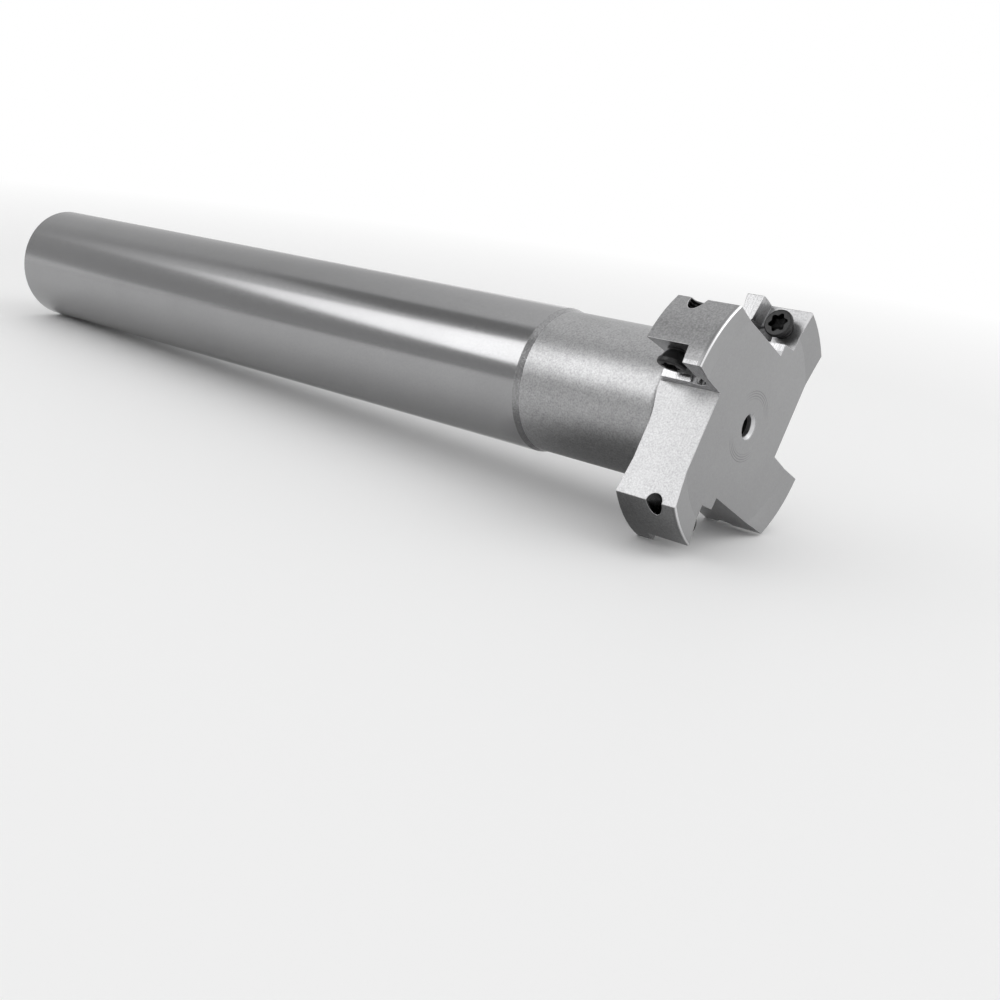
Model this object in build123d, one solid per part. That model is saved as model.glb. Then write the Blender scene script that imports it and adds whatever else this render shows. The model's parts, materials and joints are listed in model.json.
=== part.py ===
from build123d import *
import math
import os

# T slot cutter with a plain round shank, a slightly relieved neck and a four-toothed head.
# Every tooth carries a pocket for an indexable insert, open to the front and to the shank in turn.
# The inserts are off the tool: only their screws stand in the tapped holes.
# Tool frame: Z runs along the axis from the shank's end face to the cutting face.
# The last section lays the tool down as it rests on a table.
# All sizes are in millimetres, all angles in degrees.

# Shank and neck
SHANK_D = 32.0
SHANK_L = 197.0
END_CHAMFER = 1.0
NECK_D = 31.0
NECK_L = 35.2
STEP_LEN = 1.5

# Head, a disc with both faces relieved inside its outer ring
HEAD_D = 55.0
WEB_T = 12.0
RING_INNER_D = 44.0
RING_RISE = 0.8
FRONT_RIM_BREAK = 0.35
BACK_RIM_BREAK = 0.15
BACK_FILLET = 1.9

# Centre hole in the cutting face
CENTRE_HOLE_D = 4.5
CENTRE_HOLE_L = 14.0
CENTRE_SINK_W = 0.45
CENTRE_SINK_ANGLE = 60.0
DRILL_POINT = 118.0

# Teeth and the gullets between them, the leading face falling back a little towards the rim
TEETH = 4
FLOOR_OVER_NECK = 0.1
LEAD_BEHIND_CENTRE = 0.7
LEAD_LEAN = 3.0

# Insert pocket, its walls leaning back like the flanks of a positive insert
# The axial wall is also turned a little, so that the insert's face edge clears the slot's bottom
SEAT_BEHIND_CENTRE = 4.95
HUB_WALL_FROM_FLOOR = 3.0
POCKET_W = 9.25
WALL_LEAN = 7.0
AXIAL_WALL_TURN = 5.0
RELIEF_D = 5.0
RELIEF_FROM_HUB_WALL = 1.4
RELIEF_FROM_AXIAL_WALL = 0.35
RELIEF_BELOW_SEAT = 1.0

# Insert screw and its tapped hole, which narrows to the thread's core beyond the screw
SCREW_FROM_HUB_WALL = 4.0
SCREW_FROM_AXIAL_WALL = 4.45
SCREW_STANDOUT = 3.45
SCREW_ENGAGED = 5.0
THREAD_D = 4.0
THREAD_CORE_D = 3.5
THREAD_CLEARANCE = 0.05
SCREW_HEAD_D = 5.8
HEAD_LAND = 0.6
HEAD_TOP_BREAK = 0.35
HEAD_CONE_L = 1.9
TIP_CHAMFER = 0.5
LOBES = 6
LOBE_TIP_D = 3.95
LOBE_ROOT_D = 2.85
LOBE_R = 0.45
RECESS_DEPTH = 1.7
RECESS_TURN = 25.0

# Room left beyond a wall so that a cut runs clear of it
OVERCUT = 5.0

# Radii and stations along the axis that follow from the sizes above
shank_r = SHANK_D / 2
neck_r = NECK_D / 2
head_r = HEAD_D / 2
ring_inner_r = RING_INNER_D / 2
back_z = SHANK_L + NECK_L
face_z = back_z + WEB_T
rim_back_z = back_z - RING_RISE
rim_front_z = face_z + RING_RISE

# Places in a tooth's own frame: U runs out along its leading face, V the way it cuts
floor_u = neck_r + FLOOR_OVER_NECK
lead_v = -LEAD_BEHIND_CENTRE
seat_v = -SEAT_BEHIND_CENTRE
hub_wall_u = floor_u + HUB_WALL_FROM_FLOOR
screw_u = hub_wall_u + SCREW_FROM_HUB_WALL
front_pocket_wall_z = rim_front_z - POCKET_W
back_pocket_wall_z = rim_back_z + POCKET_W
reach = head_r + OVERCUT


def opens_forward(index):
    """Pockets alternate: even teeth are open to the cutting face, odd ones to the shank."""
    return index % 2 == 0


def pocket_wall_z(index):
    """Station of the wall that backs a tooth's insert along the axis, at seat level on the rim."""
    return front_pocket_wall_z if opens_forward(index) else back_pocket_wall_z


def open_side(index):
    """Direction along Z in which a tooth's pocket is open."""
    return 1 if opens_forward(index) else -1


def tooth_turn(index):
    """Rotation that carries a tooth's own frame to its place round the axis."""
    return Rot(0, 0, index * 360 / TEETH)


def cone_height(radius, point_angle):
    """Height of a drill point of the given radius and included angle."""
    return radius / math.tan(math.radians(point_angle / 2))


def slope(run, angle):
    """Rise of a line at an angle over a given run."""
    return run * math.tan(math.radians(angle))


def turned_blank():
    """The bar as it leaves the lathe: shank, neck and disc in one profile."""
    step_top_z = SHANK_L + STEP_LEN
    lower = Polyline(
        (0, 0),
        (shank_r - END_CHAMFER, 0),
        (shank_r, END_CHAMFER),
        (shank_r, SHANK_L),
        (neck_r, step_top_z),
        (neck_r, back_z - BACK_FILLET),
    )
    blend = RadiusArc(
        (neck_r, back_z - BACK_FILLET),
        (neck_r + BACK_FILLET, back_z),
        BACK_FILLET,
    )
    upper = Polyline(
        (neck_r + BACK_FILLET, back_z),
        (ring_inner_r, back_z),
        (head_r - BACK_RIM_BREAK, rim_back_z),
        (head_r, rim_back_z + BACK_RIM_BREAK),
        (head_r, rim_front_z - FRONT_RIM_BREAK),
        (head_r - FRONT_RIM_BREAK, rim_front_z),
        (ring_inner_r, face_z),
        (0, face_z),
        (0, 0),
    )
    half_section = make_face(Curve() + [lower, blend, upper])
    return revolve(Plane.XZ * half_section, Axis.Z)


def centre_hole():
    """Lathe centre hole in the cutting face, sunk at its mouth for a centre, with a drilled bottom."""
    hole_r = CENTRE_HOLE_D / 2
    sink_r = hole_r + CENTRE_SINK_W
    sink_z = face_z - cone_height(CENTRE_SINK_W, CENTRE_SINK_ANGLE)
    bottom_z = face_z - CENTRE_HOLE_L
    outline = Polyline(
        (0, bottom_z - cone_height(hole_r, DRILL_POINT)),
        (hole_r, bottom_z),
        (hole_r, sink_z),
        (sink_r, face_z),
        (sink_r, face_z + OVERCUT),
        (0, face_z + OVERCUT),
        close=True,
    )
    return revolve(Plane.XZ * make_face(outline), Axis.Z)


def gullet():
    """Chip space: its floor just clears the neck, its side is the tooth's leading face."""
    outline = Polyline(
        (floor_u, lead_v),
        (reach, lead_v - slope(reach - floor_u, LEAD_LEAN)),
        (reach, reach),
        (floor_u, reach),
        close=True,
    )
    length = WEB_T + 2 * RING_RISE + 2 * BACK_FILLET + OVERCUT
    return Pos(0, 0, back_z - 2 * BACK_FILLET) * extrude(make_face(outline), amount=length)


def pocket_plane(index):
    """Plane of the seat: its origin where the two walls meet, and Y towards the open side."""
    corner = (hub_wall_u, seat_v, pocket_wall_z(index))
    side = open_side(index)
    # X along the hub wall's normal, Y along the axis towards the open side, Z out of the seat or into it
    return Plane(origin=corner, x_dir=(1, 0, 0), z_dir=(0, -side, 0))


def pocket_space(index):
    """Room for the insert: a seat with two walls that lean back, open to the rim and to one face."""
    plane = pocket_plane(index)
    rise = lead_v - seat_v + OVERCUT
    towards_gullet = -open_side(index) * rise
    seat_w = head_r - hub_wall_u
    footprint = Polyline(
        (0, -slope(seat_w, AXIAL_WALL_TURN)),
        (reach, slope(reach - seat_w, AXIAL_WALL_TURN)),
        (reach, reach),
        (0, reach),
        close=True,
    )
    return plane * extrude(make_face(footprint), amount=towards_gullet, taper=-WALL_LEAN)


def seat_normal_cylinder(radius, place_u, place_z, low_v, high_v):
    """Cylinder square to the seat, between two levels of a tooth's frame."""
    lying = Rot(-90, 0, 0) * Cylinder(radius, high_v - low_v, align=(Align.CENTER, Align.CENTER, Align.MIN))
    return Pos(place_u, low_v, place_z) * lying


def corner_relief(index):
    """Drilled relief where the two pocket walls meet, with a drill point below the seat."""
    relief_r = RELIEF_D / 2
    place_u = hub_wall_u + RELIEF_FROM_HUB_WALL
    place_z = pocket_wall_z(index) + open_side(index) * RELIEF_FROM_AXIAL_WALL
    shoulder_v = seat_v - RELIEF_BELOW_SEAT
    wall = seat_normal_cylinder(relief_r, place_u, place_z, shoulder_v, lead_v + OVERCUT)
    depth = cone_height(relief_r, DRILL_POINT)
    point = Cone(relief_r, 0, depth, align=(Align.CENTER, Align.CENTER, Align.MIN))
    return [wall, Pos(place_u, shoulder_v, place_z) * Rot(90, 0, 0) * point]


def screw_z(index):
    """Station of a tooth's tapped hole along the axis."""
    return pocket_wall_z(index) + open_side(index) * SCREW_FROM_AXIAL_WALL


def tapped_hole(index):
    """Hole square to the seat: room for the screw, then the thread's core out to the trailing edge."""
    place = (screw_u, screw_z(index))
    step_v = seat_v - SCREW_ENGAGED - TIP_CHAMFER
    room = seat_normal_cylinder(THREAD_D / 2 + THREAD_CLEARANCE, *place, step_v, seat_v + OVERCUT)
    core = seat_normal_cylinder(THREAD_CORE_D / 2, *place, -reach, step_v + OVERCUT)
    return [room, core]


def cutter_body():
    """Shank, neck and head in one piece."""
    cuts = [centre_hole()]
    for index in range(TEETH):
        tooth_cuts = [gullet(), pocket_space(index)] + corner_relief(index) + tapped_hole(index)
        cuts += [tooth_turn(index) * cut for cut in tooth_cuts]
    return turned_blank() - cuts


def six_lobe_recess():
    """Six-lobe driver recess, from the screw's top face down."""
    lobe_ring = PolarLocations(LOBE_TIP_D / 2 - LOBE_R, LOBES)
    outline = Circle(LOBE_ROOT_D / 2) + lobe_ring * Circle(LOBE_R)
    return extrude(outline, amount=-RECESS_DEPTH)


def insert_screw():
    """Countersunk screw along Z, with its top face at the origin."""
    head_r_screw = SCREW_HEAD_D / 2
    thread_r = THREAD_D / 2
    land_z = -HEAD_TOP_BREAK - HEAD_LAND
    cone_z = land_z - HEAD_CONE_L
    tip_z = -SCREW_STANDOUT - SCREW_ENGAGED
    outline = Polyline(
        (0, 0),
        (head_r_screw - HEAD_TOP_BREAK, 0),
        (head_r_screw, -HEAD_TOP_BREAK),
        (head_r_screw, land_z),
        (thread_r, cone_z),
        (thread_r, tip_z + TIP_CHAMFER),
        (thread_r - TIP_CHAMFER, tip_z),
        (0, tip_z),
        close=True,
    )
    return revolve(Plane.XZ * make_face(outline), Axis.Z) - six_lobe_recess()


def insert_screws():
    """One screw in every tooth's tapped hole, its head standing proud of the empty seat."""
    screws = []
    for index in range(TEETH):
        head_top = Pos(screw_u, seat_v + SCREW_STANDOUT, screw_z(index))
        driven = Rot(-90, 0, 0) * Rot(0, 0, index * RECESS_TURN)
        screws.append(tooth_turn(index) * head_top * driven * insert_screw())
    return screws


def resting_pose(body):
    """Lay the tool down on two corners of its rim and the edge of its shank's end."""
    lean = math.radians(LEAD_LEAN)
    lead_offset = lead_v * math.cos(lean) + floor_u * math.sin(lean)
    lead_angle = math.degrees(math.asin(lead_offset / head_r)) - LEAD_LEAN
    trail_angle = math.degrees(math.acos(floor_u / head_r))
    bisector = (lead_angle + trail_angle) / 2
    half_gap = (trail_angle - lead_angle) / 2
    corner_drop = head_r * math.cos(math.radians(half_gap))
    contact_run = rim_back_z + BACK_RIM_BREAK - END_CHAMFER
    pitch = math.degrees(math.atan2(corner_drop - shank_r, contact_run))
    laid = Rot(0, 90 - pitch, 0) * Rot(0, 0, -bisector)
    box = (laid * body).bounding_box()
    to_origin = Pos(-(box.min.X + box.max.X) / 2, -(box.min.Y + box.max.Y) / 2, -box.min.Z)
    return to_origin * laid


def main():
    """Write one STEP file for each named piece."""
    os.makedirs("parts", exist_ok=True)
    body = cutter_body()
    rest = resting_pose(body)
    export_step(rest * body, "parts/cutter_body.step")
    export_step(Compound(children=[rest * screw for screw in insert_screws()]), "parts/insert_screws.step")


main()
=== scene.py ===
import json
import math

import bpy
import numpy as np
from mathutils import Euler, Matrix, Vector


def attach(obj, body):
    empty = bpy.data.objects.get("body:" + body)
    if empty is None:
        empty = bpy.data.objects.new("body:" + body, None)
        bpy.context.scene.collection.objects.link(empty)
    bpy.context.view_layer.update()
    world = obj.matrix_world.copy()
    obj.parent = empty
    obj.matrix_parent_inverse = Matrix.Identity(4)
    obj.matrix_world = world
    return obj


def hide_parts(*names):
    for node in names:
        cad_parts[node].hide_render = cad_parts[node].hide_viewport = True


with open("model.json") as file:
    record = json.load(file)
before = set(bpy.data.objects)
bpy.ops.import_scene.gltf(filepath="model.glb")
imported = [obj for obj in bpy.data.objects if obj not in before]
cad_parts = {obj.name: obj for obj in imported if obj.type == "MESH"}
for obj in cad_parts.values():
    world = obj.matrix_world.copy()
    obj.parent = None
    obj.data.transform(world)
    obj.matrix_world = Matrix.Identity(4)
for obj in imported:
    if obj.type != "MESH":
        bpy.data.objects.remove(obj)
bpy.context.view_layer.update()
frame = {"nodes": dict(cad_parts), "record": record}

# T slot cutter lying on a pale table: bright ground shank, satin neck and head, black insert screws.
# Lengths are in millimetres in the tool's own frame, and in metres where Blender holds them. Angles are in
# degrees.
MM = 0.001

# Stations along the tool's axis, and radii about it, where one finish ends and the next begins
SHANK_TO = 197.0
NECK_FROM = 198.5
HEAD_FROM = 230.6
FACE_FROM = 244.1
RIM_R = 27.5
RIM_MARGIN = 0.1

# Break along the front of the rim, the slack in finding its cone, how far back it gets a painted highlight,
# and the centre hole's countersink with its share of that painted highlight
RIM_FRONT = 245.0
RIM_BREAK = 0.35
BREAK_MARGIN = 0.03
BREAK_HIGHLIGHT_BACK = 0.24
SINK_R = 3.6
SINK_DEPTH = 1.6
SINK_HIGHLIGHT_SHARE = 0.7

# Gullet floors' distance from the axis, and the band about the axis in which the teeth's leading sides lie
FLOOR_U = 15.6
LEADING_WITHIN = 2.2
LEADING_FROM = FLOOR_U + 1

# Circles turned about the centre hole: their spacing and sharpness, the radii between which they come and
# go, and how far to the side of the hole they begin
RING_SPACING = 0.5
RING_SHARPNESS = 3.0
RINGS_COME = (5.3, 6.0)
RINGS_GO = (7.5, 7.2)
RINGS_SIDE = (0.5, 0.9)

# Insert screw, its heights measured from the seat
SCREW_TOP = 3.45
SCREW_HEAD_R = 2.9
HEAD_EDGE = 0.35
HEAD_LAND = 0.6
HEAD_CONE = 1.9
THREAD_R = 2.0
THREAD_ROOT_R = 1.57
THREAD_PITCH = 0.7
THREAD_FROM = 0.25
TIP_AT = -5.0
TIP_CHAMFER = 0.5
CROWN = 0.06
LOBES = 6
LOBE_MEAN_R = 1.7
LOBE_SWING = 0.275
RECESS_DEPTH = 1.7
RECESS_TURN = 25.0

# Thread on the screw: columns about it, rings to a pitch, how far it runs on at its ends and eases there,
# and how much taller its ridges would be if their crests weren't cut flat
SCREW_COLUMNS = 72
RINGS_TO_PITCH = 9
THREAD_RUN_OUT = 0.3
THREAD_EASE = 0.4
CREST_CUT = 1.15

# Profile of the screw's head. Its cone starts in from the thread and up from the cone's foot, and ends in
# from the head's edge and up from the land's foot. Its edge bends in rings to a top whose rings run to the
# recess's lip.
CONE_START = ((0.25, 0.0), (0.12, 0.15))
CONE_END = ((0.1, -0.1), (0.02, -0.03), (0.0, 0.06))
LAND_MARGIN = 0.02
BEND_RINGS = 7
TOP_FROM = 0.12
TOP_RINGS = 6
LIP_ROUND = 0.07

# Profile of the recess: out from its outline and down from its lip, then shares of the outline and radii
# with their heights above its depth
RECESS_LIP = ((0.02, 0.04), (0.0, 0.12))
RECESS_FOOT = ((0.99, 0.1), (0.96, 0.0), (0.6, -0.15))
RECESS_POINT = ((0.5, -0.35), (0.05, -0.45))

# Tapped hole beyond the screw's tip: where its thread begins, its size and clearance, how far inside the
# mouth it ends and eases, and its rings and columns
TAP_FROM = -5.5
TAP_R = 1.74
TAP_RIDGE = 0.3
TAP_CLEARANCE = 0.01
TAP_INSIDE = 0.12
TAP_EASE = 0.2
TAP_RINGS = 74
TAP_COLUMNS = 64

# Side of a tapped hole where its crests get the most painted highlight, from the way out to the rim
TAP_LIT_SIDE = -45.0

# Turn past which two faces meet in a sharp edge
SHARP_FROM = 40

# Tones of the finishes
SATIN_TONE = 0.385
SHANK_TONE = 0.34
FACE_TONE = 0.33
# The next two are painted highlights: along the steel's broken edges and on the rim's front break
EDGE_HIGHLIGHT_TONE = 0.8
BREAK_HIGHLIGHT_TONE = 0.75
SCREW_TONE = 0.036
SCREW_EDGE_TONE = 0.11
# The next two are painted shade in the thread grooves and a painted highlight on their crests
GROOVE_SHADE_TONE = 0.05
CREST_HIGHLIGHT_TONE = 0.7
COOLNESS = 1.012

# How much of the steel's tone each zone, milled stroke and patch adds, the bore's share being painted shade
# in the centre hole, and how far the smooth places go over to their own tone, the steel's broken edges to
# a painted highlight and the screws' edges to worn oxide
ZONE_SWINGS = {"Step": -0.22, "Leading": 0.1, "Rim": -0.18, "Rings": -0.32, "Bore": -0.65}
STROKE_SWING = 0.36
PATCH_SWING = -0.04
SMOOTH_SHARE = 0.8
EDGE_HIGHLIGHT_SHARE = 0.75
SCREW_EDGE_SHARE = 0.5
# Painted shade in the screws' recesses
RECESS_SHADE_SWING = -0.7
# How sharply the painted highlight gathers on the threads' crests
CREST_SHARPNESS = 3.0

# Roughness: plain numbers, or the least and how much the grain or the ground lines add
SHANK_ROUGH = (0.14, 0.04)
SATIN_ROUGH = (0.33, 0.1)
ZONE_ROUGH = {"Face": 0.3, "Leading": 0.24, "Step": 0.22}
PATCH_ROUGH = 0.02
SCREW_ROUGH = (0.3, 0.15)
SCREW_METALLIC = 0.85
GROOVE_ROUGH = 0.34
CREST_ROUGH = 0.2

# Relief of the finishes
GRAIN_RELIEF = 0.014
LINE_RELIEF = 0.0006
RING_RELIEF = -0.02
STROKE_RELIEF = 0.006
SCREW_RELIEF = 0.006
THREAD_RELIEF = 0.004

# What each material asks of the shared effects. Edges are broken by metres.
STEEL_GRAIN = {"Size": 0.38, "Strength": 0.21}
SCREW_GRAIN = {"Size": 0.22, "Strength": 0.3}
THREAD_GRAIN = {"Size": 0.2, "Strength": 0.2}
GROUND_LINES = {"Spacing": 0.09, "Length": 5.0}
MILLED_STROKES = {"Spacing": 0.35, "Length": 12.0}
STEEL_HANDLING = {"Size": 16.0}
STEEL_EDGE = {"Radius": 0.00016}
SCREW_EDGE = {"Radius": 0.00012}

# The shared effects: detail and roughness of each noise, the fine one's share of the grain, how much larger
# the broad one is and how far both are spread, and the spans of noise or turn that run from 0 to 1
FINE_NOISE = (2.0, 0.55)
BROAD_NOISE = (1.0, 0.5)
LINES_NOISE = (3.0, 0.6)
PATCHES_NOISE = (3.0, 0.5)
FINE_SHARE = 0.85
BROAD_TIMES = 4.0
FLECK_SPREAD = 6.0
LINES_SPAN = (0.3, 0.7)
PATCHES_SPAN = (0.35, 0.65)
EDGE_SPAN = (0.01, 0.2)
EDGE_SAMPLES = 6

# Table: half its side, its paint, and the distances between which it runs out into plain white, in metres
TABLE_HALF = 3
TABLE_TONE = 0.9
TABLE_ROUGH = 0.6
TABLE_SPECULAR = 0.2
TABLE_PLAIN = (0.25, 0.6)

# Surroundings and lamps, in metres
WHITE = (1, 1, 1, 1)
WORLD_LIGHT = 0.85
SIDE_PLACE = Vector((-0.395, -0.59, 0.45))
SIDE_SIZE = (0.8, 0.5)
SIDE_LIGHT = 0.5
FRONT_PLACE = Vector((0.55, 0.3, 0.7))
FRONT_SIZE = (0.7, 0.5)
FRONT_LIGHT = 1.0
BACK_PLACE = Vector((-0.75, 0.49, 0.55))

# Cloths that the metal mirrors: corners to the right and up from their place in metres, then the spot from
# which their tone runs, the two distances from it and the two tones there. Those to the side hang one
# behind the other.
CLOTH_GAP = 0.02
SIDE_CLOTHS = {
    "side_glow": (((-0.44, 0.03), (-0.35, -0.06), (-0.25, -0.12), (-0.15, -0.18), (-0.05, -0.22),
                   (0.2, -0.22), (0.5, 0.03), (0.24, 0.3), (-0.15, 0.3), (-0.19, 0.22), (-0.27, 0.12)),
                  (0.05, 0.02), (0.24, 0.5), (2.8, 1.7)),
    "dark_cloth": (((-0.72, 0.4), (-0.64, 0.29), (-0.5, 0.26), (-0.43, 0.2), (-0.3, 0.19), (-0.2, 0.3),
                    (-0.34, 0.52), (-0.52, 0.54), (-0.6, 0.46)),
                   (-0.45, 0.36), (0.12, 0.3), (0.31, 0.42)),
    "side_halo": (((-0.76, 0.16), (-0.62, 0.0), (-0.4, -0.06), (-0.2, 0.1), (-0.28, 0.21), (-0.5, 0.27),
                   (-0.66, 0.27)),
                  (-0.4, 0.06), (0.05, 0.34), (0.95, 0.5)),
    "side_shade": (((-0.9, -0.14), (-0.52, -0.42), (-0.38, -0.54), (-0.28, -0.7), (-0.1, -0.76),
                    (0.9, -0.8), (0.9, 0.63), (-0.5, 0.63), (-0.8, 0.47), (-1.4, 0.4), (-1.4, 0.0)),
                   (0.0, -0.1), (0.3, 1.2), (0.45, 0.62)),
}
FRONT_GLOW = (((-0.35, -0.25), (0.35, -0.25), (0.35, 0.25), (-0.35, 0.25)),
              (0.0, 0.0), (0.1, 0.5), (2.3, 2.0))
BACK_CLOTH = (((-0.5, -0.28), (-0.1, -0.56), (0.5, -0.56), (0.5, 0.54), (-0.5, 0.54)),
              (1.2, -1.6), (2.0, 2.4), (0.64, 1.0))

# Cloth on the table to the side: corners out from the tool and along it, its height and its tone
FLOOR_CLOTH = ((0.32, -0.11), (0.32, 0.25), (0.95, 0.45), (0.95, -0.28))
FLOOR_CLOTH_UP = 0.001
FLOOR_CLOTH_TONE = 0.42

# Painted shade under the neck, a dark round sheet on the table that only the metal mirrors: its middle,
# how far it covers and where it has faded out, its tone and its corners
NECK_SPOT = Vector((0.096, -0.014, 0.0003))
NECK_SHADE_RADII = (0.015, 0.036)
NECK_SHADE_TONE = 0.17
NECK_SHADE_CORNERS = 48

# Camera at the photograph's angle
CAMERA_PLACE = (0.23868, -0.23166, 0.07433)
CAMERA_AZIMUTH = -47.768
CAMERA_ELEVATION = 20.430
CAMERA_ROLL = 7.367
FOCAL_LENGTH = 45.87
SENSOR_WIDTH = 36.0
CAMERA_SHIFT = (0.1232, 0.0859)
CAMERA_CLIP = (0.01, 20.0)

# The tool's own frame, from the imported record: Z along the axis towards the head, 0 at the shank's end, X
# out along the first tooth, Y the way that tooth cuts. The shank's mount leaves out the chamfer at its end.
END_CHAMFER = 1.0
mounts = {mount["name"]: mount for mount in frame["record"]["mounts"]}
shank_pin = mounts["shank"]
axis_z = -Vector(shank_pin["axis"])
axis_y = Vector(mounts["insert_seat_1"]["axis"])
axis_x = axis_y.cross(axis_z)
shank_end = Vector(shank_pin["pos_m"]) - axis_z * (shank_pin["dims"]["length_mm"] / 2 + END_CHAMFER) * MM
tool_to_row = Matrix.Translation(shank_end) @ Matrix((axis_x, axis_y, axis_z)).transposed().to_4x4()
row_to_tool = tool_to_row.inverted()
insert_seats = [mounts[name] for name in sorted(mounts) if name.startswith("insert_seat")]


# Surfaces worked out on a grid of rings

def ring_faces(rings, around, joined):
    """Four-sided faces of a grid of rings, as rows of corner numbers: corner (i, j) is i * around + j, the
    last column meets the first, and where joined is true the last ring meets the first too."""
    last = rings if joined else rings - 1
    i, j = np.meshgrid(np.arange(last), np.arange(around), indexing="ij")
    here, there = i * around, (i + 1) % rings * around
    turned = (j + 1) % around
    return np.stack([here + j, here + turned, there + turned, there + j], axis=-1).reshape(-1, 4)


def add_surface(name, points, joined, caps):
    """One piece from several equal grids, points[copy, ring, column] in metres. Each copy's faces are those
    of ring_faces, moved on by the copy's number times its count of corners. caps closes its end rings."""
    copies, rings, around = points.shape[:3]
    faces = []
    for start in range(0, copies * rings * around, rings * around):
        faces += (ring_faces(rings, around, joined) + start).tolist()
        if caps:
            faces.append((np.arange(around)[::-1] + start).tolist())
            faces.append((np.arange(around) + start + (rings - 1) * around).tolist())
    mesh = bpy.data.meshes.new(name)
    mesh.from_pydata(points.reshape(-1, 3).tolist(), [], faces)
    mesh.polygons.foreach_set("use_smooth", np.ones(len(faces), dtype=bool))
    mesh.set_sharp_from_angle(angle=math.radians(SHARP_FROM))
    piece = bpy.data.objects.new(name, mesh)
    bpy.context.scene.collection.objects.link(piece)
    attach(piece, "root")
    return piece


def keep_values(piece, name, values):
    """One number for each corner of a piece, kept as an attribute that its material reads."""
    kept = piece.data.attributes.new(name, "FLOAT", "POINT")
    kept.data.foreach_set("value", np.ravel(values))


def turns_about(columns):
    """Angles of the columns about a screw's axis, as one row."""
    return np.linspace(0, 2 * math.pi, columns, endpoint=False)[None, :]


def from_seat(seat, out, turn, height):
    """Row-frame points of a surface given about a screw's axis: the seat's place, plus
    out * (cos turn * U - sin turn * Z) + height * V, with V the seat's normal, Z the tool's axis and
    U = V x Z."""
    v = np.array(seat["axis"])
    z = np.array(axis_z)
    u = np.cross(v, z)
    across = np.cos(turn)[..., None] * u - np.sin(turn)[..., None] * z
    return np.array(seat["pos_m"]) + (out[..., None] * across + height[..., None] * v) * MM


def saw(turns):
    """Even ridge of a thread: 1 where turns is whole, falling straight to 0 half way to the next."""
    return np.abs(2 * (turns - np.floor(turns)) - 1)


def joined_rings(runs):
    """Radii and heights of several runs of rings, one run after another."""
    return tuple(np.concatenate(rows) for rows in zip(*runs))


def thread_rings(turn):
    """Radius and height of the screw's thread: its root, plus the ridge's height times
    saw(height / pitch - turn / 2 pi) cut flat at 1, times an ease that falls to 0 at both ends."""
    top = THREAD_FROM + THREAD_RUN_OUT
    up = np.arange(TIP_AT + TIP_CHAMFER, top, THREAD_PITCH / RINGS_TO_PITCH)[:, None]
    ease = np.clip((top - up) / THREAD_EASE, 0, 1)
    ease = ease * np.clip((up - TIP_AT - THREAD_RUN_OUT) / THREAD_EASE, 0, 1)
    ridges = np.minimum(saw(up / THREAD_PITCH - turn / (2 * math.pi)) * CREST_CUT, 1.0)
    return THREAD_ROOT_R + (THREAD_R - THREAD_ROOT_R) * ridges * ease, up + 0 * turn


def head_rings(turn):
    """Radius and height of the screw's head from under its cone to its top's edge: the cone, the land, and
    a quarter round that comes in by edge * (1 - cos bend) and rises by edge * sin bend, less the crown."""
    land_top = SCREW_TOP - HEAD_EDGE
    land_foot = land_top - HEAD_LAND
    cone_foot = land_foot - HEAD_CONE
    profile = [(THREAD_R - inset, cone_foot + rise) for inset, rise in CONE_START]
    profile += [(SCREW_HEAD_R - inset, land_foot + rise) for inset, rise in CONE_END]
    profile += [(SCREW_HEAD_R, land_top - LAND_MARGIN)]
    profile += [(SCREW_HEAD_R - HEAD_EDGE * (1 - np.cos(bend)), land_top + HEAD_EDGE * np.sin(bend))
                for bend in np.linspace(0, math.pi / 2, BEND_RINGS)]
    out, up = np.array(profile).T[..., None]
    return out + 0 * turn, up - CROWN * (up > land_top) + 0 * turn


def top_rings(outline):
    """Radius and height of the screw's slightly crowned top, from its edge to the recess's rounded lip: the
    rings run straight from one to the other, and the top sinks by crown * (radius / edge radius)^2."""
    edge = SCREW_HEAD_R - HEAD_EDGE
    share = np.linspace(TOP_FROM, 1, TOP_RINGS)[:, None]
    out = edge + (outline + LIP_ROUND - edge) * share
    return out, SCREW_TOP - CROWN + CROWN * (1 - (out / edge) ** 2)


def recess_rings(outline, lip):
    """Radius and height of the recess: down its wall along the outline, then in to a blunt point."""
    depth = SCREW_TOP - RECESS_DEPTH
    rings = [(outline + wider, lip - below) for wider, below in RECESS_LIP]
    rings += [(outline * share, depth + rise + 0 * outline) for share, rise in RECESS_FOOT]
    rings += [(radius + 0 * outline, depth + rise + 0 * outline) for radius, rise in RECESS_POINT]
    return joined_rings(rings)


def screw_surface(seat, recess_turn):
    """Insert screw as rings from its tip to the bottom of its recess, and which of its points lie in the
    recess. The recess's outline is its mean radius plus the swing times cos(6 turn)."""
    turn = turns_about(SCREW_COLUMNS)
    outline = LOBE_MEAN_R + LOBE_SWING * np.cos(LOBES * (turn - recess_turn))
    tip = (THREAD_R - TIP_CHAMFER + 0 * turn, TIP_AT + 0 * turn)
    top = top_rings(outline)
    recess = recess_rings(outline, top[1][-1:])
    out, up = joined_rings((tip, thread_rings(turn), head_rings(turn), top, recess))
    inside = np.zeros_like(out)
    inside[-len(recess[0]):] = 1
    return from_seat(seat, out, turn + 0 * out, up), inside


def add_insert_screws():
    """The four insert screws as one piece, each recess turned a little further than the last. Its attribute
    recess is 1 inside the recesses and 0 elsewhere."""
    surfaces = [screw_surface(seat, math.radians(RECESS_TURN * index))
                for index, seat in enumerate(insert_seats)]
    points, inside = (np.stack(values) for values in zip(*surfaces))
    piece = add_surface("threaded_insert_screws", points, False, True)
    keep_values(piece, "recess", inside)
    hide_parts("insert_screws")
    return piece


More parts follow.
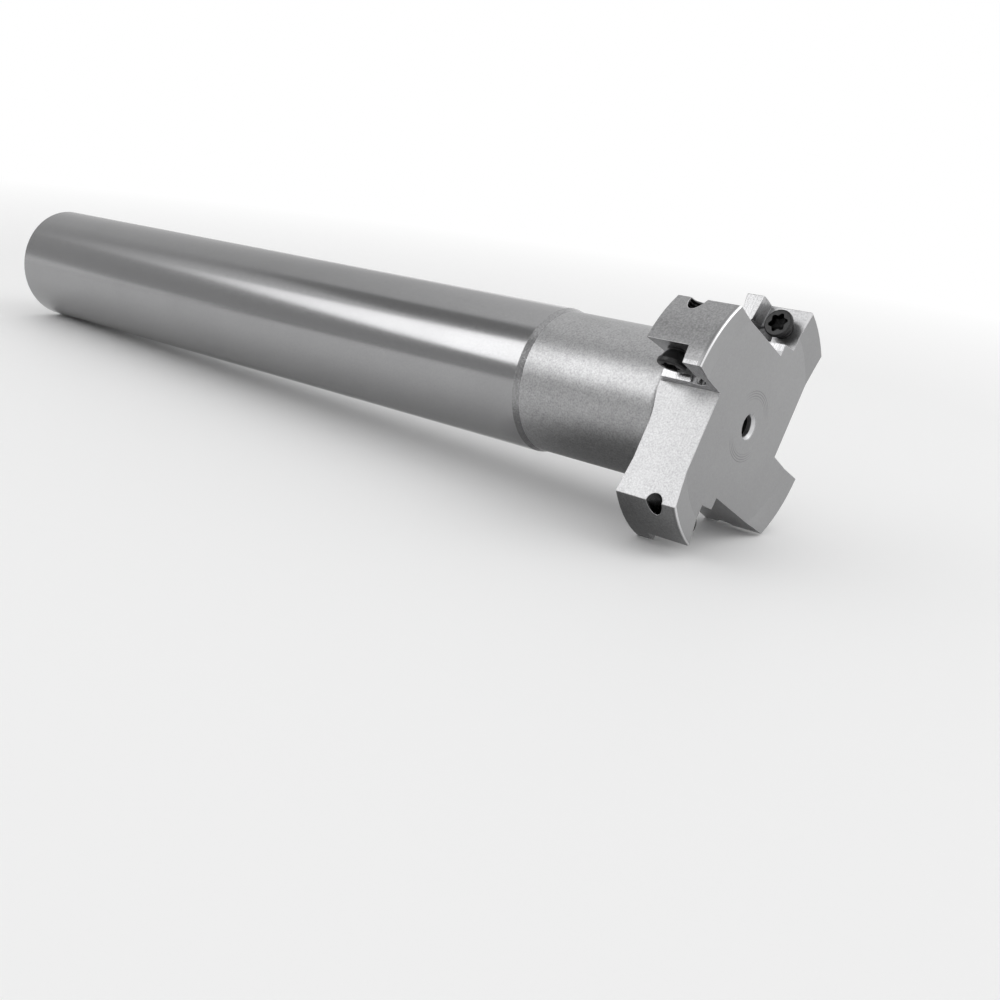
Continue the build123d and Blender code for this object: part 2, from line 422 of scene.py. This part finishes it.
def tap_mouth(seat, turn):
    """Height at which a tapped hole opens on the trailing side of its tooth, counted from the seat and
    drawn in a little: v = -min(floor, sqrt(rim^2 - u^2))."""
    place = row_to_tool @ Vector(seat["pos_m"]) / MM
    seat_v = place.dot(row_to_tool.to_3x3() @ Vector(seat["axis"]))
    seat_u = math.sqrt(place.x ** 2 + place.y ** 2 - seat_v ** 2)
    mouth_u = seat_u + TAP_R * np.cos(turn)
    return -np.minimum(FLOOR_U, np.sqrt(RIM_R ** 2 - mouth_u ** 2)) - seat_v + TAP_INSIDE


def tapped_surface(seat):
    """Thread of a tapped hole as a closed tube in the hole, and how much painted highlight each point has.
    Inner rings run from beyond the screw's tip to the mouth, with the radius less by the ridge's height
    times saw(v / pitch - turn / 2 pi), and two plain outer rings lead back. The painted highlight is the
    same saw times 0.5 + 0.5 cos(turn - lit turn), brightest on the crests on one side of the hole."""
    turn = turns_about(TAP_COLUMNS)
    mouth = tap_mouth(seat, turn)
    share = np.linspace(0, 1, TAP_RINGS)[:, None]
    inner_up = TAP_FROM + (mouth - TAP_FROM) * share
    ease = np.clip((inner_up - mouth) / TAP_EASE, 0, 1)
    ridge = saw(inner_up / THREAD_PITCH - turn / (2 * math.pi)) * ease
    inner_out = TAP_R - TAP_CLEARANCE - TAP_RIDGE * ridge
    out = np.concatenate([inner_out, TAP_R + 0 * turn, TAP_R + 0 * turn])
    up = np.concatenate([inner_up, mouth, TAP_FROM + 0 * turn])
    # Painted highlight, strongest on one side of the hole as if light fell in there
    side = 0.5 + 0.5 * np.cos(turn - math.radians(TAP_LIT_SIDE))
    return from_seat(seat, out, turn + 0 * out, up), np.concatenate([ridge * side, 0 * turn, 0 * turn])


def add_tapped_threads():
    """The threads that show in the four tapped holes, as one piece. Its attribute of painted highlight runs
    from 0 in a groove to 1 along a ridge, and less away from the side of the hole that looks lit."""
    points, crest_highlight = (np.stack(values) for values in zip(*map(tapped_surface, insert_seats)))
    piece = add_surface("tapped_threads", points, True, False)
    keep_values(piece, "crest_highlight", crest_highlight)
    return piece


# Nodes

FLOAT, VECTOR = "NodeSocketFloat", "NodeSocketVector"


def add_node(tree, kind, inputs=None, **settings):
    """A node with its settings, and each input either joined to a socket or set to a value."""
    made = tree.nodes.new(kind)
    for name, value in settings.items():
        setattr(made, name, value)
    for name, value in (inputs or {}).items():
        if isinstance(value, bpy.types.NodeSocket):
            tree.links.new(value, made.inputs[name])
        else:
            made.inputs[name].default_value = value
    return made


def maths(tree, operation, *values):
    """The result of one Math node, for sockets or plain numbers."""
    return add_node(tree, "ShaderNodeMath", dict(enumerate(values)), operation=operation).outputs[0]


def vector_maths(tree, operation, *values):
    """The results of one Vector Math node, by name."""
    return add_node(tree, "ShaderNodeVectorMath", dict(enumerate(values)), operation=operation).outputs


def times(tree, first, second):
    """The product of two values, or where both masks hold."""
    return maths(tree, "MULTIPLY", first, second)


def over(tree, value, limit):
    """1 where the value is over the limit, 0 elsewhere."""
    return maths(tree, "GREATER_THAN", value, limit)


def under(tree, value, limit):
    """1 where the value is under the limit, 0 elsewhere."""
    return maths(tree, "LESS_THAN", value, limit)


def add_share(tree, value, share, base):
    """value * share + base."""
    return maths(tree, "MULTIPLY_ADD", value, share, base)


def from_middle(tree, value):
    """How far a value between 0 and 1 is from the middle."""
    return maths(tree, "SUBTRACT", value, 0.5)


def swung(tree, tone, mask, swing):
    """tone * (1 + mask * swing)."""
    return times(tree, tone, add_share(tree, mask, swing, 1.0))


def blend_values(tree, share, first, second):
    """first where share is 0 and second where it is 1."""
    return add_node(tree, "ShaderNodeMix", {0: share, 2: first, 3: second}, data_type="FLOAT").outputs[0]


def step_up(tree, value, start, end):
    """0 at start, 1 at end, straight between them and level beyond."""
    span = {"Value": value, "From Min": start, "From Max": end}
    return add_node(tree, "ShaderNodeMapRange", span).outputs[0]


def noise_at(tree, place, scale, detail, roughness):
    """Noise at a place, its cells 1 / scale across."""
    inputs = {"Vector": place, "Scale": scale, "Detail": detail, "Roughness": roughness}
    return add_node(tree, "ShaderNodeTexNoise", inputs).outputs[0]


def new_group(name, inputs, outputs):
    """An empty shader group. inputs holds (name, socket type, value) and outputs (name, socket type)."""
    group = bpy.data.node_groups.new(name, "ShaderNodeTree")
    for label, kind, value in inputs:
        socket = group.interface.new_socket(name=label, in_out="INPUT", socket_type=kind)
        if value is not None:
            socket.default_value = value
    for label, kind in outputs:
        group.interface.new_socket(name=label, in_out="OUTPUT", socket_type=kind)
    return group, group.nodes.new("NodeGroupInput").outputs, group.nodes.new("NodeGroupOutput").inputs


# Effects that the materials share

def satin_grain_group():
    """Fine pitted grain of a blasted or finely milled surface: two noises, one about Size across and one
    four times as large. Height is for a bump, and Fleck runs about 1 for the colour."""
    inputs = [("Place", VECTOR, None), ("Size", FLOAT, 0.4), ("Strength", FLOAT, 0.1)]
    group, given, made = new_group("satin grain", inputs, [("Height", FLOAT), ("Fleck", FLOAT)])
    scale = maths(group, "DIVIDE", 1.0, given["Size"])
    fine = noise_at(group, given["Place"], scale, *FINE_NOISE)
    broad = noise_at(group, given["Place"], maths(group, "DIVIDE", scale, BROAD_TIMES), *BROAD_NOISE)
    both = add_share(group, broad, 1 - FINE_SHARE, times(group, fine, FINE_SHARE))
    spread = times(group, from_middle(group, both), FLECK_SPREAD)
    group.links.new(fine, made["Height"])
    group.links.new(add_share(group, spread, given["Strength"], 1.0), made["Fleck"])
    return group


def tool_lines_group():
    """Lines that a wheel or cutter leaves square to the axis: noise squeezed along the tool's Z, where
    Spacing is their distance and Length how far one runs. Lines runs from 0 to 1."""
    inputs = [("Place", VECTOR, None), ("Spacing", FLOAT, 0.1), ("Length", FLOAT, 6.0)]
    group, given, made = new_group("tool lines", inputs, [("Lines", FLOAT)])
    along = maths(group, "DIVIDE", 1.0, given["Spacing"])
    across = maths(group, "DIVIDE", 1.0, given["Length"])
    squeeze = add_node(group, "ShaderNodeCombineXYZ", {"X": across, "Y": across, "Z": along}).outputs[0]
    squeezed = vector_maths(group, "MULTIPLY", given["Place"], squeeze)["Vector"]
    noise = noise_at(group, squeezed, 1.0, *LINES_NOISE)
    group.links.new(step_up(group, noise, *LINES_SPAN), made["Lines"])
    return group


def handling_group():
    """Soft uneven patches that oil and handling leave: slow noise about Size across. Patches is 0 to 1."""
    inputs = [("Place", VECTOR, None), ("Size", FLOAT, 14.0)]
    group, given, made = new_group("handling", inputs, [("Patches", FLOAT)])
    noise = noise_at(group, given["Place"], maths(group, "DIVIDE", 1.0, given["Size"]), *PATCHES_NOISE)
    group.links.new(step_up(group, noise, *PATCHES_SPAN), made["Patches"])
    return group


def broken_edge_group():
    """Edges broken by Radius metres: the normal rounded over them, and Edge, which is how far it turns from
    the face's own, from 0 on the flat to 1 on the edge."""
    outputs = [("Normal", VECTOR), ("Edge", FLOAT)]
    group, given, made = new_group("broken edge", [("Radius", FLOAT, 0.0002)], outputs)
    rounded = add_node(group, "ShaderNodeBevel", {"Radius": given["Radius"]}, samples=EDGE_SAMPLES)
    face = add_node(group, "ShaderNodeNewGeometry").outputs["Normal"]
    same_way = vector_maths(group, "DOT_PRODUCT", rounded.outputs[0], face)["Value"]
    turned = maths(group, "SUBTRACT", 1.0, same_way)
    group.links.new(rounded.outputs[0], made["Normal"])
    group.links.new(step_up(group, turned, *EDGE_SPAN), made["Edge"])
    return group


def ring_mask(group, wide, out):
    """Faint circles about the centre hole: a sharpened wave of the radius, seen to two sides of it."""
    wave = maths(group, "SINE", times(group, out, 2 * math.pi / RING_SPACING))
    wave = maths(group, "POWER", add_share(group, wave, 0.5, 0.5), RING_SHARPNESS)
    near_hole = times(group, step_up(group, out, *RINGS_COME), step_up(group, out, *RINGS_GO))
    sideways = step_up(group, maths(group, "DIVIDE", wide, out), *RINGS_SIDE)
    return times(group, wave, times(group, near_hole, sideways))


def leading_mask(group, wide, high):
    """The teeth's fronts: close to one of two planes through the axis, and beyond the gullets' floors."""
    thin = under(group, maths(group, "MINIMUM", wide, high), LEADING_WITHIN)
    return times(group, thin, over(group, maths(group, "MAXIMUM", wide, high), LEADING_FROM))


def painted_highlight_mask(group, out, along, in_hole):
    """Where a highlight is painted: the break along the front of the rim, where radius plus station is what
    its cone has, and a share of the centre hole's countersink."""
    cone = RIM_R + RIM_FRONT - RIM_BREAK - BREAK_MARGIN
    front = over(group, maths(group, "ADD", out, along), cone)
    front = times(group, front, over(group, along, RIM_FRONT - BREAK_HIGHLIGHT_BACK))
    sink = times(group, in_hole, over(group, along, FACE_FROM - SINK_DEPTH))
    return maths(group, "MAXIMUM", front, times(group, sink, SINK_HIGHLIGHT_SHARE))


def zones_group():
    """Which finish a place on the tool has, from its station and radius: Shank, Step, Face for the cutting
    face, Rings for the faint circles about its hole, Rim, Leading for the teeth's fronts, Bright for the
    painted highlight on the break along the rim's front and on the hole's countersink, and Bore for the
    hole behind that, which is given painted shade."""
    names = ("Shank", "Step", "Face", "Rings", "Rim", "Leading", "Bright", "Bore")
    outputs = [(name, FLOAT) for name in names]
    group, given, made = new_group("finish zones", [("Place", VECTOR, None)], outputs)
    parts = add_node(group, "ShaderNodeSeparateXYZ", {0: given["Place"]}).outputs
    along = parts["Z"]
    wide = maths(group, "ABSOLUTE", parts["X"])
    high = maths(group, "ABSOLUTE", parts["Y"])
    out = maths(group, "SQRT", maths(group, "ADD", times(group, wide, wide), times(group, high, high)))
    head = over(group, along, HEAD_FROM)
    face = over(group, along, FACE_FROM)
    head_behind_face = times(group, head, under(group, along, FACE_FROM))
    in_hole = times(group, head_behind_face, under(group, out, SINK_R))
    masks = (
        under(group, along, SHANK_TO),
        times(group, over(group, along, SHANK_TO), under(group, along, NECK_FROM)),
        face,
        times(group, face, ring_mask(group, wide, out)),
        times(group, head, over(group, out, RIM_R - RIM_MARGIN)),
        times(group, head_behind_face, leading_mask(group, wide, high)),
        painted_highlight_mask(group, out, along, in_hole),
        times(group, in_hole, under(group, along, FACE_FROM - SINK_DEPTH)),
    )
    for name, mask in zip(names, masks):
        group.links.new(mask, made[name])
    return group


# Materials

def tool_place(tree):
    """Object coordinates turned and moved into the tool's own frame, in millimetres."""
    where = add_node(tree, "ShaderNodeTexCoord").outputs["Object"]
    moved = add_node(tree, "ShaderNodeMapping", {"Vector": where}, vector_type="POINT")
    moved.inputs["Location"].default_value = row_to_tool.to_translation() / MM
    moved.inputs["Rotation"].default_value = row_to_tool.to_euler("XYZ")
    moved.inputs["Scale"].default_value = (1 / MM, 1 / MM, 1 / MM)
    return moved.outputs[0]


def new_material(name):
    """A material and its node tree."""
    material = bpy.data.materials.new(name)
    material.use_nodes = True
    return material, material.node_tree


def effect(tree, group, **given):
    """One of the shared groups in a material, with its place and its own values."""
    return add_node(tree, "ShaderNodeGroup", given, node_tree=group).outputs


def kept_values(tree, name):
    """The attribute that keep_values gave the piece."""
    kept = add_node(tree, "ShaderNodeAttribute", attribute_type="GEOMETRY", attribute_name=name)
    return kept.outputs["Fac"]


def grey(tree, value):
    """A nearly neutral colour of one value, a little cooler than grey."""
    cool = times(tree, value, COOLNESS)
    return add_node(tree, "ShaderNodeCombineColor", {0: value, 1: value, 2: cool}).outputs[0]


def bump_of(tree, height, **normal):
    """The normal of a relief whose height is in millimetres, over a rounded normal where one is given."""
    return add_node(tree, "ShaderNodeBump", {"Height": height, "Distance": MM, **normal}).outputs[0]


def steel_tone(tree, zone, grain, strokes, patches, edge):
    """Tone of the cutter's steel: each zone's own, the centre bore's being painted shade, with the grain's
    flecks, the strokes on the teeth's fronts, soft patches, and painted highlights on the rim's front
    break, the countersink and the broken edges."""
    tone = blend_values(tree, zone["Shank"], SATIN_TONE, SHANK_TONE)
    tone = blend_values(tree, zone["Face"], tone, FACE_TONE)
    smooth = maths(tree, "MAXIMUM", maths(tree, "MAXIMUM", zone["Shank"], zone["Face"]), zone["Leading"])
    tone = times(tree, tone, blend_values(tree, times(tree, smooth, SMOOTH_SHARE), grain["Fleck"], 1.0))
    stroke = times(tree, zone["Leading"], from_middle(tree, strokes))
    tone = swung(tree, tone, stroke, STROKE_SWING)
    # The bore's swing darkens the centre hole as painted shade.
    for name, swing in ZONE_SWINGS.items():
        tone = swung(tree, tone, zone[name], swing)
    tone = swung(tree, tone, from_middle(tree, patches), PATCH_SWING)
    # Painted highlight on the rim's front break and the countersink.
    tone = blend_values(tree, zone["Bright"], tone, BREAK_HIGHLIGHT_TONE)
    # Painted highlight along the broken edges.
    return blend_values(tree, times(tree, edge["Edge"], EDGE_HIGHLIGHT_SHARE), tone, EDGE_HIGHLIGHT_TONE)


def steel_roughness(tree, zone, grain, lines, patches):
    """Roughness of the cutter's steel: the shank's from its ground lines, the satin's from its grain, and
    each other zone's own."""
    shank = add_share(tree, lines, SHANK_ROUGH[1], SHANK_ROUGH[0])
    satin = add_share(tree, grain["Height"], SATIN_ROUGH[1], SATIN_ROUGH[0])
    rough = blend_values(tree, zone["Shank"], satin, shank)
    for name, own in ZONE_ROUGH.items():
        rough = blend_values(tree, zone[name], rough, own)
    return add_share(tree, patches, PATCH_ROUGH, rough)


def steel_height(tree, zone, grain, lines, strokes):
    """Relief of the cutter's steel in millimetres: ground lines on the shank and face, grain elsewhere, the
    turned circles, and the strokes on the teeth's fronts."""
    smooth = maths(tree, "MAXIMUM", zone["Shank"], zone["Face"])
    pits = times(tree, grain["Height"], GRAIN_RELIEF)
    height = blend_values(tree, smooth, pits, times(tree, lines, LINE_RELIEF))
    height = add_share(tree, zone["Rings"], RING_RELIEF, height)
    return add_share(tree, times(tree, strokes, zone["Leading"]), STROKE_RELIEF, height)


def cutter_steel(groups):
    """Steel of the cutter: bright ground shank, satin grain on the neck and head, a smoother cutting face
    with faint turned circles, painted shade in the centre bore, and painted highlights on the broken edges
    and the rim's front break."""
    material, tree = new_material("cutter_steel")
    place = tool_place(tree)
    zone = effect(tree, groups["zones"], Place=place)
    grain = effect(tree, groups["grain"], Place=place, **STEEL_GRAIN)
    lines = effect(tree, groups["lines"], Place=place, **GROUND_LINES)["Lines"]
    strokes = effect(tree, groups["lines"], Place=place, **MILLED_STROKES)["Lines"]
    patches = effect(tree, groups["handling"], Place=place, **STEEL_HANDLING)["Patches"]
    edge = effect(tree, groups["edge"], **STEEL_EDGE)
    tone = steel_tone(tree, zone, grain, strokes, patches, edge)
    rough = steel_roughness(tree, zone, grain, lines, patches)
    height = steel_height(tree, zone, grain, lines, strokes)
    shader = tree.nodes["Principled BSDF"]
    tree.links.new(grey(tree, tone), shader.inputs["Base Color"])
    tree.links.new(rough, shader.inputs["Roughness"])
    tree.links.new(bump_of(tree, height, Normal=edge["Normal"]), shader.inputs["Normal"])
    shader.inputs["Metallic"].default_value = 1.0
    return material


def screw_black(groups):
    """Black oxide on the insert screws: dark and half matt, worn to a lighter grey along its edges, with
    painted shade in the recesses."""
    material, tree = new_material("screw_black")
    grain = effect(tree, groups["grain"], Place=tool_place(tree), **SCREW_GRAIN)
    edge = effect(tree, groups["edge"], **SCREW_EDGE)
    tone = times(tree, grain["Fleck"], SCREW_TONE)
    tone = blend_values(tree, times(tree, edge["Edge"], SCREW_EDGE_SHARE), tone, SCREW_EDGE_TONE)
    # Painted shade in the recesses.
    tone = swung(tree, tone, kept_values(tree, "recess"), RECESS_SHADE_SWING)
    rough = add_share(tree, grain["Height"], SCREW_ROUGH[1], SCREW_ROUGH[0])
    height = times(tree, grain["Height"], SCREW_RELIEF)
    shader = tree.nodes["Principled BSDF"]
    tree.links.new(grey(tree, tone), shader.inputs["Base Color"])
    tree.links.new(rough, shader.inputs["Roughness"])
    tree.links.new(bump_of(tree, height, Normal=edge["Normal"]), shader.inputs["Normal"])
    shader.inputs["Metallic"].default_value = SCREW_METALLIC
    return material


def thread_painted_light(groups):
    """Threads in the tapped holes: painted shade in the grooves and a painted highlight along the crests.
    """
    material, tree = new_material("thread_painted_light")
    grain = effect(tree, groups["grain"], Place=tool_place(tree), **THREAD_GRAIN)
    # Painted shade in the grooves and painted highlight on the crests
    highlight_share = maths(tree, "POWER", kept_values(tree, "crest_highlight"), CREST_SHARPNESS)
    tone = times(tree, blend_values(tree, highlight_share, GROOVE_SHADE_TONE, CREST_HIGHLIGHT_TONE), grain["Fleck"])
    height = times(tree, grain["Height"], THREAD_RELIEF)
    shader = tree.nodes["Principled BSDF"]
    tree.links.new(grey(tree, tone), shader.inputs["Base Color"])
    tree.links.new(blend_values(tree, highlight_share, GROOVE_ROUGH, CREST_ROUGH), shader.inputs["Roughness"])
    tree.links.new(bump_of(tree, height), shader.inputs["Normal"])
    shader.inputs["Metallic"].default_value = 1.0
    return material


# Studio

def end_with(tree, shader):
    """Makes a shader what the material's surface shows."""
    tree.links.new(shader, tree.nodes["Material Output"].inputs["Surface"])


def glow_of(tree, strength):
    """White glow of a given strength."""
    return add_node(tree, "ShaderNodeEmission", {"Color": WHITE, "Strength": strength}).outputs[0]


def mix_shaders(tree, share, first, second):
    """The first shader where share is 0 and the second where it is 1."""
    return add_node(tree, "ShaderNodeMixShader", {0: share, 1: first, 2: second}).outputs[0]


def seen_rays(tree):
    """1 for what the camera sees, by itself or in metal and glass, and 0 for light on other things."""
    rays = add_node(tree, "ShaderNodeLightPath").outputs
    mirrored = maths(tree, "MAXIMUM", rays["Is Glossy Ray"], rays["Is Transmission Ray"])
    return maths(tree, "MAXIMUM", rays["Is Camera Ray"], mirrored)


def distance_from(tree, spot):
    """Metres from a spot."""
    where = add_node(tree, "ShaderNodeTexCoord").outputs["Object"]
    return vector_maths(tree, "DISTANCE", where, spot)["Value"]


def table_material():
    """Pale table that keeps the tool's shadow and runs out into plain white far from it."""
    material, tree = new_material("pale_table")
    shader = tree.nodes["Principled BSDF"]
    shader.inputs["Base Color"].default_value = (TABLE_TONE, TABLE_TONE, TABLE_TONE, 1)
    shader.inputs["Roughness"].default_value = TABLE_ROUGH
    shader.inputs["Specular IOR Level"].default_value = TABLE_SPECULAR
    far = step_up(tree, distance_from(tree, Vector((0, 0, 0))), *TABLE_PLAIN)
    share = times(tree, far, seen_rays(tree))
    end_with(tree, mix_shaders(tree, share, shader.outputs[0], glow_of(tree, 1.0)))
    return material


def add_flat(name, outline, material):
    """Flat piece of the studio with the given outline."""
    mesh = bpy.data.meshes.new(name)
    mesh.from_pydata(outline, [], [tuple(range(len(outline)))])
    mesh.materials.append(material)
    flat = bpy.data.objects.new(name, mesh)
    bpy.context.scene.collection.objects.link(flat)
    return flat


def add_table():
    """Flat square table just under the tool."""
    corners = ((-1, -1), (1, -1), (1, 1), (-1, 1))
    add_flat("table", [(x * TABLE_HALF, y * TABLE_HALF, 0) for x, y in corners], table_material())


def add_world():
    """White surroundings: strength 1 where the camera or a reflection looks, a little less as light."""
    world = bpy.data.worlds.new("studio")
    world.use_nodes = True
    tree = world.node_tree
    background = tree.nodes["Background"]
    background.inputs["Color"].default_value = WHITE
    tree.links.new(blend_values(tree, seen_rays(tree), WORLD_LIGHT, 1.0), background.inputs["Strength"])
    bpy.context.scene.world = world


def facing_axes(place):
    """Right, up and towards the tool, for a lamp or cloth at a place."""
    towards = -place.normalized()
    right = towards.cross(Vector((0, 0, 1))).normalized()
    return right, right.cross(towards), towards


def add_lamp(name, place, size, light):
    """Soft oval lamp facing the tool, for the table alone, as the metal mirrors the cloths instead. Its
    power is its even radiance times pi times its area."""
    right, up, towards = facing_axes(place)
    lamp = bpy.data.lights.new(name, "AREA")
    lamp.shape = "ELLIPSE"
    lamp.size, lamp.size_y = size
    area = math.pi / 4 * size[0] * size[1]
    lamp.energy = light * math.pi * area
    holder = bpy.data.objects.new(name, lamp)
    holder.matrix_world = Matrix.Translation(place) @ Matrix((right, up, -towards)).transposed().to_4x4()
    holder.visible_camera = False
    holder.visible_glossy = False
    bpy.context.scene.collection.objects.link(holder)


def shaded_cloth(name, spot, distances, tones):
    """Plain glow whose strength runs from one tone to another between two distances from a spot."""
    material, tree = new_material(name)
    far = step_up(tree, distance_from(tree, spot), *distances)
    end_with(tree, glow_of(tree, blend_values(tree, far, *tones)))
    return material


def even_cloth(name, tone):
    """Plain glow of one strength."""
    material, tree = new_material(name)
    end_with(tree, glow_of(tree, tone))
    return material


def fading_cloth(name, spot, distances, tone):
    """Plain glow that hides what is behind it near a spot, and fades out between two distances."""
    material, tree = new_material(name)
    far = step_up(tree, distance_from(tree, spot), *distances)
    clear = add_node(tree, "ShaderNodeBsdfTransparent").outputs[0]
    end_with(tree, mix_shaders(tree, far, glow_of(tree, tone), clear))
    return material


def spread_cloth(name, outline, material):
    """Flat cloth with the given outline, seen by the metal only."""
    cloth = add_flat(name, outline, material)
    cloth.visible_camera = False
    cloth.visible_diffuse = False
    cloth.visible_shadow = False


def hang_cloth(name, place, behind, cloth):
    """Flat cloth facing the tool, a little behind its place and larger by as much."""
    corners, spot, distances, tones = cloth
    right, up, towards = facing_axes(place)
    larger = 1 + behind / place.length
    outline = [(place + right * across + up * rise) * larger for across, rise in corners]
    middle = (place + right * spot[0] + up * spot[1]) * larger
    spread_cloth(name, outline, shaded_cloth(name, middle, distances, tones))


def add_floor_cloth():
    """Cloth on the table, out from the tool towards the side lamp."""
    away = Vector((SIDE_PLACE.x, SIDE_PLACE.y, 0)).normalized()
    across = Vector((-away.y, away.x, 0))
    up = Vector((0, 0, FLOOR_CLOTH_UP))
    outline = [away * out + across * side + up for out, side in FLOOR_CLOTH]
    spread_cloth("floor_cloth", outline, even_cloth("floor_cloth", FLOOR_CLOTH_TONE))


def add_neck_painted_shade():
    """Painted shade under the neck: a dark round sheet on the table that darkens what the neck's underside
    mirrors.
    """
    turns = np.linspace(0, 2 * math.pi, NECK_SHADE_CORNERS, endpoint=False)
    rim = NECK_SHADE_RADII[1]
    outline = [NECK_SPOT + Vector((math.cos(turn), math.sin(turn), 0)) * rim for turn in turns]
    material = fading_cloth("neck_painted_shade", NECK_SPOT, NECK_SHADE_RADII, NECK_SHADE_TONE)
    spread_cloth("neck_painted_shade", outline, material)


def add_studio():
    """Two soft lamps for the table, and the cloths in the metal: a glowing one to the side for the bright
    band along the shank with duller ones behind it, a pale one behind the tool, a glowing one over the
    cutting face, and two on the table, the one under the neck being painted shade."""
    add_lamp("side_lamp", SIDE_PLACE, SIDE_SIZE, SIDE_LIGHT)
    add_lamp("front_lamp", FRONT_PLACE, FRONT_SIZE, FRONT_LIGHT)
    for index, (name, cloth) in enumerate(SIDE_CLOTHS.items()):
        hang_cloth(name, SIDE_PLACE, CLOTH_GAP * (index + 1), cloth)
    hang_cloth("front_glow", FRONT_PLACE, 0.0, FRONT_GLOW)
    add_floor_cloth()
    add_neck_painted_shade()
    hang_cloth("back_cloth", BACK_PLACE, 0.0, BACK_CLOTH)


def add_camera():
    """Camera at the photograph's angle: its line of sight from azimuth, elevation and roll."""
    azimuth, elevation, roll = map(math.radians, (CAMERA_AZIMUTH, CAMERA_ELEVATION, CAMERA_ROLL))
    level = math.cos(elevation)
    back = Vector((level * math.cos(azimuth), level * math.sin(azimuth), math.sin(elevation)))
    data = bpy.data.cameras.new("camera")
    data.lens = FOCAL_LENGTH
    data.sensor_width = SENSOR_WIDTH
    data.shift_x, data.shift_y = CAMERA_SHIFT
    data.clip_start, data.clip_end = CAMERA_CLIP
    camera = bpy.data.objects.new("camera", data)
    camera.rotation_mode = "QUATERNION"
    camera.rotation_quaternion = back.to_track_quat("Z", "Y") @ Euler((0, 0, roll)).to_quaternion()
    camera.location = CAMERA_PLACE
    bpy.context.scene.collection.objects.link(camera)
    bpy.context.scene.camera = camera


def dress(piece, material):
    """Gives a piece one material all over."""
    piece.data.materials.clear()
    piece.data.materials.append(material)


groups = {"grain": satin_grain_group(), "lines": tool_lines_group(), "handling": handling_group(),
          "edge": broken_edge_group(), "zones": zones_group()}
dress(frame["nodes"]["cutter_body"], cutter_steel(groups))
dress(add_tapped_threads(), thread_painted_light(groups))
black = screw_black(groups)
dress(frame["nodes"]["insert_screws"], black)
dress(add_insert_screws(), black)

add_table()
add_world()
add_studio()
add_camera()
bpy.context.scene.view_settings.view_transform = "Standard"
